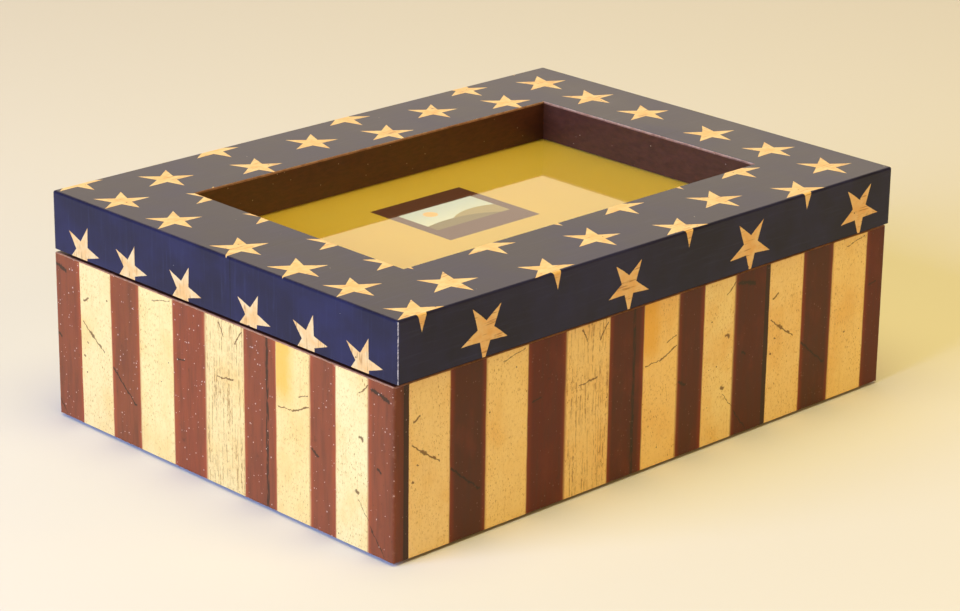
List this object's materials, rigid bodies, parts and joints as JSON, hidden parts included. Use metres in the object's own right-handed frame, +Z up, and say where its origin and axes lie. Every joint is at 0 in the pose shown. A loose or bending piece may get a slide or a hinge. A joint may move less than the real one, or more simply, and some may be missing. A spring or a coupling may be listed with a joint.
{
  "type": "keepsake box with picture frame lid",
  "caption": "Rectangular hinged keepsake box in printed paper, stripes on the base and stars on the lid, with a glazed picture frame sunk into the lid.",
  "frame": {"origin": "centre of the base's underside, on the surface that the box stands on", "axes": "+X along the length to the right, -Y the front, +Y the hinge side, +Z up"},
  "size_m": [0.2044, 0.1534, 0.071],
  "materials": {
    "painted_board": "satin paint, dark maroon brown",
    "bare_board": "bare brown fibreboard",
    "striped_paper": "satin varnish over printed cream and brown stripes",
    "starred_paper": "satin varnish over a dark navy print with cream stars",
    "felt": "napped felt",
    "bumper": "soft, matt",
    "brass": "lacquered, lightly tarnished",
    "glass": "clear float glass",
    "insert_card": "printed card, semi-matt"
  },
  "bodies": {
    "base": {"base_front_wall": "painted_board", "base_back_wall": "painted_board", "base_left_wall": "painted_board", "base_right_wall": "painted_board", "base_floor": "bare_board", "base_stripe_paper": "striped_paper", "floor_lining": "felt", "underside_felt": "felt", "lid_bumpers": "bumper", "hinge_left_base_leaf": "brass", "hinge_right_base_leaf": "brass", "hinge_left_pin": "brass", "hinge_right_pin": "brass", "hinge_base_screws": "brass"},
    "lid": {"lid_front_rail": "painted_board", "lid_back_rail": "painted_board", "lid_left_rail": "painted_board", "lid_right_rail": "painted_board", "lid_star_paper": "starred_paper", "glass_pane": "glass", "picture_card": "insert_card", "backing_board": "bare_board", "hinge_left_lid_leaf": "brass", "hinge_right_lid_leaf": "brass", "hinge_lid_screws": "brass", "turn_button_screws": "brass"},
    "front_left_button": {"turn_button_front_left": "brass"},
    "front_right_button": {"turn_button_front_right": "brass"},
    "back_left_button": {"turn_button_back_left": "brass"},
    "back_right_button": {"turn_button_back_right": "brass"}
  },
  "joints": [
    {"name": "lid_hinge", "type": "hinge", "parent": "base", "child": "lid", "pos_m": [0, 0.0763, 0.0525], "axis": [-1, 0, 0], "range_deg": [0, 100]},
    {"name": "front_left_button_turn", "type": "hinge", "parent": "lid", "child": "front_left_button", "pos_m": [-0.042, -0.0564, 0.05255], "axis": [0, 0, 1], "continuous": true},
    {"name": "front_right_button_turn", "type": "hinge", "parent": "lid", "child": "front_right_button", "pos_m": [0.042, -0.0564, 0.05255], "axis": [0, 0, 1], "continuous": true},
    {"name": "back_left_button_turn", "type": "hinge", "parent": "lid", "child": "back_left_button", "pos_m": [-0.042, 0.0554, 0.05255], "axis": [0, 0, 1], "continuous": true},
    {"name": "back_right_button_turn", "type": "hinge", "parent": "lid", "child": "back_right_button", "pos_m": [0.042, 0.0554, 0.05255], "axis": [0, 0, 1], "continuous": true}
  ]
}
